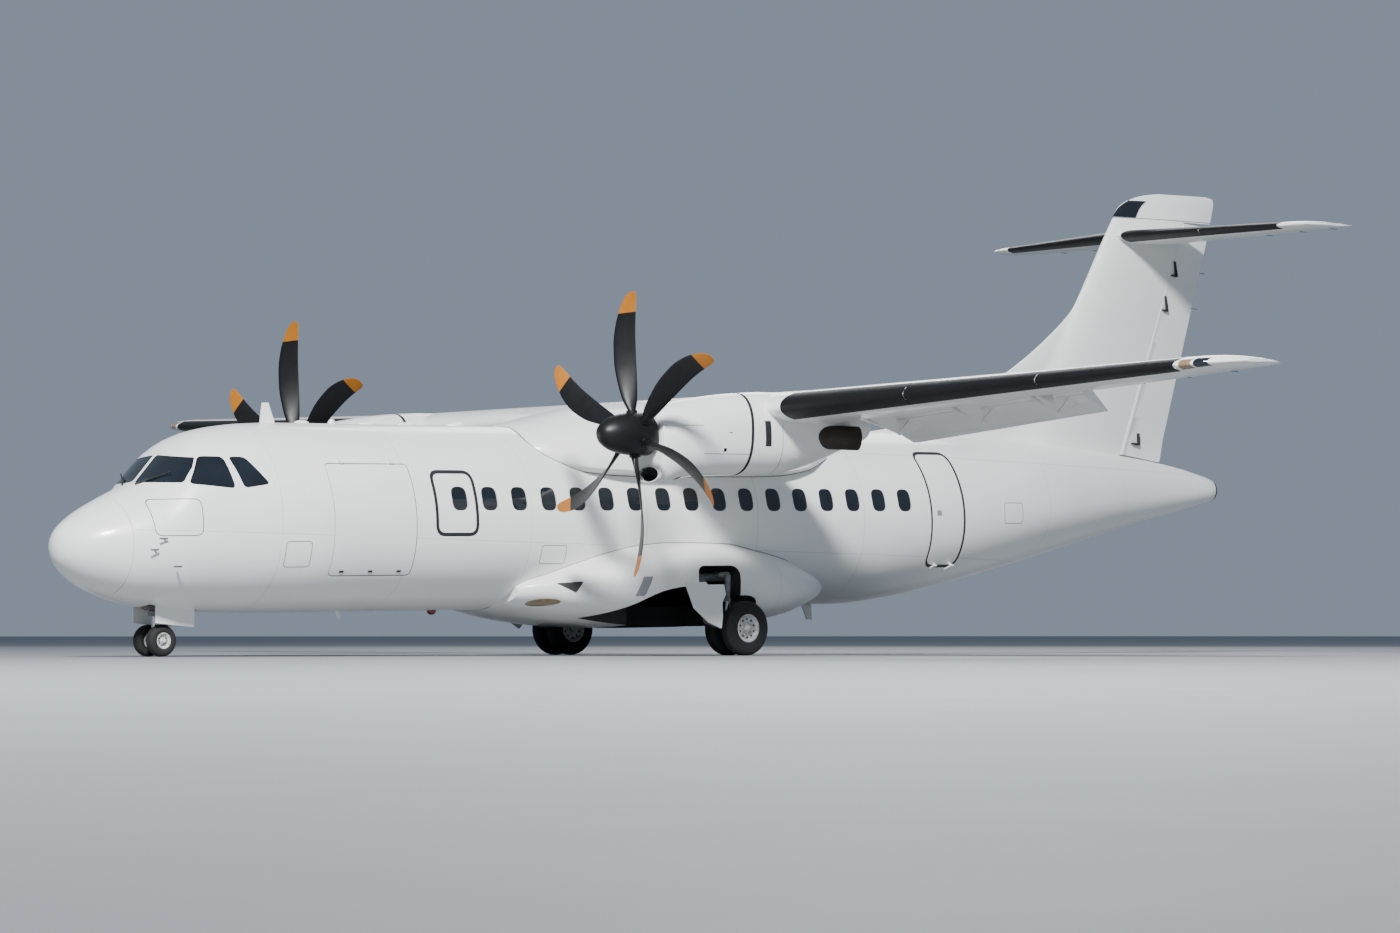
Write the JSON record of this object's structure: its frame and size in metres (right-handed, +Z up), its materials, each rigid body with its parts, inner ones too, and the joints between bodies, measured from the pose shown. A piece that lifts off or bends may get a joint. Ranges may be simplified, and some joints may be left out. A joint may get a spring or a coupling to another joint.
{
  "type": "turboprop airliner",
  "caption": "High-wing, T-tailed regional airliner on its landing gear, with turning propellers and wheels, steering, flaps, control surfaces and opening doors.",
  "frame": {"origin": "on the ground under the middle of the bounding box", "axes": "+X towards the tail, +Y to starboard, +Z up"},
  "size_m": [22.6552, 24.57, 7.6084],
  "materials": {
    "white_paint": "gloss white paint",
    "window_glass": "tinted laminated glass",
    "black_composite": "satin black composite",
    "bare_steel": "heat-stained steel",
    "dark_metal": "dark metal",
    "gear_paint": "satin grey paint",
    "tyre_rubber": "worn black rubber"
  },
  "bodies": {
    "airframe": {"fuselage_nose": "white_paint", "fuselage_center": "white_paint", "fuselage_tail": "white_paint", "radome": "white_paint", "gear_fairing": "white_paint", "wing_center": "white_paint", "wing_outer_left": "white_paint", "wing_outer_right": "white_paint", "wing_tip_left": "white_paint", "wing_tip_right": "white_paint", "wing_fairing": "white_paint", "tailplane": "white_paint", "fin": "white_paint", "fin_cap": "white_paint", "nacelle_left": "white_paint", "nacelle_right": "white_paint", "engine_left": "dark_metal", "engine_right": "dark_metal", "exhaust_left": "bare_steel", "exhaust_right": "bare_steel", "windscreen_left": "window_glass", "windscreen_right": "window_glass", "side_window_left": "window_glass", "side_window_right": "window_glass", "rear_window_left": "window_glass", "rear_window_right": "window_glass", "nose_door_left": "white_paint", "nose_door_right": "white_paint", "main_leg_left": "gear_paint", "main_leg_right": "gear_paint", "main_door_left": "white_paint", "main_door_right": "white_paint", "nose_leg": "gear_paint", "roof_aerial": "white_paint", "belly_aerial": "white_paint"},
    "propeller_left": {"propeller_left": "black_composite", "spinner_left": "black_composite"},
    "propeller_right": {"propeller_right": "black_composite", "spinner_right": "black_composite"},
    "nose_steering": {"nose_fork": "gear_paint"},
    "nose_wheels": {"nose_rims": "gear_paint", "nose_tyre_left": "tyre_rubber", "nose_tyre_right": "tyre_rubber"},
    "main_wheels_left": {"main_rims_left": "gear_paint", "main_tyre_left_inner": "tyre_rubber", "main_tyre_left_outer": "tyre_rubber"},
    "main_wheels_right": {"main_rims_right": "gear_paint", "main_tyre_right_inner": "tyre_rubber", "main_tyre_right_outer": "tyre_rubber"},
    "rudder": {"rudder": "white_paint"},
    "elevator_left": {"elevator_left": "white_paint"},
    "elevator_right": {"elevator_right": "white_paint"},
    "aileron_left": {"aileron_left": "white_paint"},
    "aileron_right": {"aileron_right": "white_paint"},
    "flap_inboard_left": {"flap_inboard_left": "white_paint"},
    "flap_inboard_right": {"flap_inboard_right": "white_paint"},
    "flap_outboard_left": {"flap_outboard_left": "white_paint"},
    "flap_outboard_right": {"flap_outboard_right": "white_paint"},
    "passenger_door": {"passenger_door": "white_paint"},
    "cargo_door": {"cargo_door": "white_paint"}
  },
  "joints": [
    {"name": "propeller_left_spin", "type": "hinge", "parent": "airframe", "child": "propeller_left", "pos_m": [-4.51147, -4.05, 3.07917], "axis": [-0.9999, 0, -0.0156], "continuous": true},
    {"name": "propeller_right_spin", "type": "hinge", "parent": "airframe", "child": "propeller_right", "pos_m": [-4.51147, 4.05, 3.07917], "axis": [-0.9999, 0, -0.0156], "continuous": true},
    {"name": "nose_steer", "type": "hinge", "parent": "airframe", "child": "nose_steering", "pos_m": [-9.70743, 0, 0.22158], "axis": [-0.0156, 0, 0.9999], "range_deg": [-60, 60]},
    {"name": "nose_roll", "type": "hinge", "parent": "nose_steering", "child": "nose_wheels", "pos_m": [-9.70743, 0, 0.22158], "axis": [0, 1, 0], "continuous": true},
    {"name": "main_left_roll", "type": "hinge", "parent": "airframe", "child": "main_wheels_left", "pos_m": [-0.92913, -2.05, 0.39885], "axis": [0, 1, 0], "continuous": true},
    {"name": "main_right_roll", "type": "hinge", "parent": "airframe", "child": "main_wheels_right", "pos_m": [-0.92913, 2.05, 0.39885], "axis": [0, 1, 0], "continuous": true},
    {"name": "rudder_turn", "type": "hinge", "parent": "airframe", "child": "rudder", "pos_m": [8.97979, 0, 3.1041], "axis": [0.3612, 0, 0.9325], "range_deg": [-27, 27]},
    {"name": "elevator_left_turn", "type": "hinge", "parent": "airframe", "child": "elevator_left", "pos_m": [10.3413, -1.6, 6.85584], "axis": [0, 1, 0], "range_deg": [-25, 16]},
    {"name": "elevator_right_turn", "type": "hinge", "parent": "airframe", "child": "elevator_right", "pos_m": [10.3413, 1.6, 6.85584], "axis": [0, 1, 0], "range_deg": [-25, 16]},
    {"name": "aileron_left_turn", "type": "hinge", "parent": "airframe", "child": "aileron_left", "pos_m": [-0.53003, -8.76, 3.70387], "axis": [0.0009, 0.9988, -0.0482], "range_deg": [-14, 14]},
    {"name": "aileron_right_turn", "type": "hinge", "parent": "airframe", "child": "aileron_right", "pos_m": [-0.53003, 8.76, 3.70387], "axis": [-0.0009, 0.9988, 0.0482], "range_deg": [-14, 14]},
    {"name": "flap_inboard_left_turn", "type": "hinge", "parent": "airframe", "child": "flap_inboard_left", "pos_m": [-0.53432, -1.48, 3.1519], "axis": [0, -1, 0], "range_deg": [0, 30]},
    {"name": "flap_inboard_right_turn", "type": "hinge", "parent": "airframe", "child": "flap_inboard_right", "pos_m": [-0.53432, 1.48, 3.1519], "axis": [0, -1, 0], "range_deg": [0, 30]},
    {"name": "flap_outboard_left_turn", "type": "hinge", "parent": "airframe", "child": "flap_outboard_left", "pos_m": [-0.53432, -4.64, 3.1519], "axis": [0, -0.9988, 0.0491], "range_deg": [0, 30]},
    {"name": "flap_outboard_right_turn", "type": "hinge", "parent": "airframe", "child": "flap_outboard_right", "pos_m": [-0.53432, 4.64, 3.1519], "axis": [0, -0.9988, -0.0491], "range_deg": [0, 30]},
    {"name": "passenger_door_open", "type": "hinge", "parent": "airframe", "child": "passenger_door", "pos_m": [3.95624, -1.25, 1.37335], "axis": [0.9999, 0, 0.0156], "range_deg": [0, 138]},
    {"name": "cargo_door_open", "type": "hinge", "parent": "airframe", "child": "cargo_door", "pos_m": [-6.99594, -1.186, 2.70628], "axis": [-0.9999, 0, -0.0156], "range_deg": [0, 110]}
  ],
  "couplings": [
    {"joint": "elevator_right_turn", "follows": "elevator_left_turn", "ratio": 1},
    {"joint": "aileron_right_turn", "follows": "aileron_left_turn", "ratio": -1},
    {"joint": "flap_inboard_right_turn", "follows": "flap_inboard_left_turn", "ratio": 1},
    {"joint": "flap_outboard_left_turn", "follows": "flap_inboard_left_turn", "ratio": 1},
    {"joint": "flap_outboard_right_turn", "follows": "flap_inboard_left_turn", "ratio": 1}
  ]
}
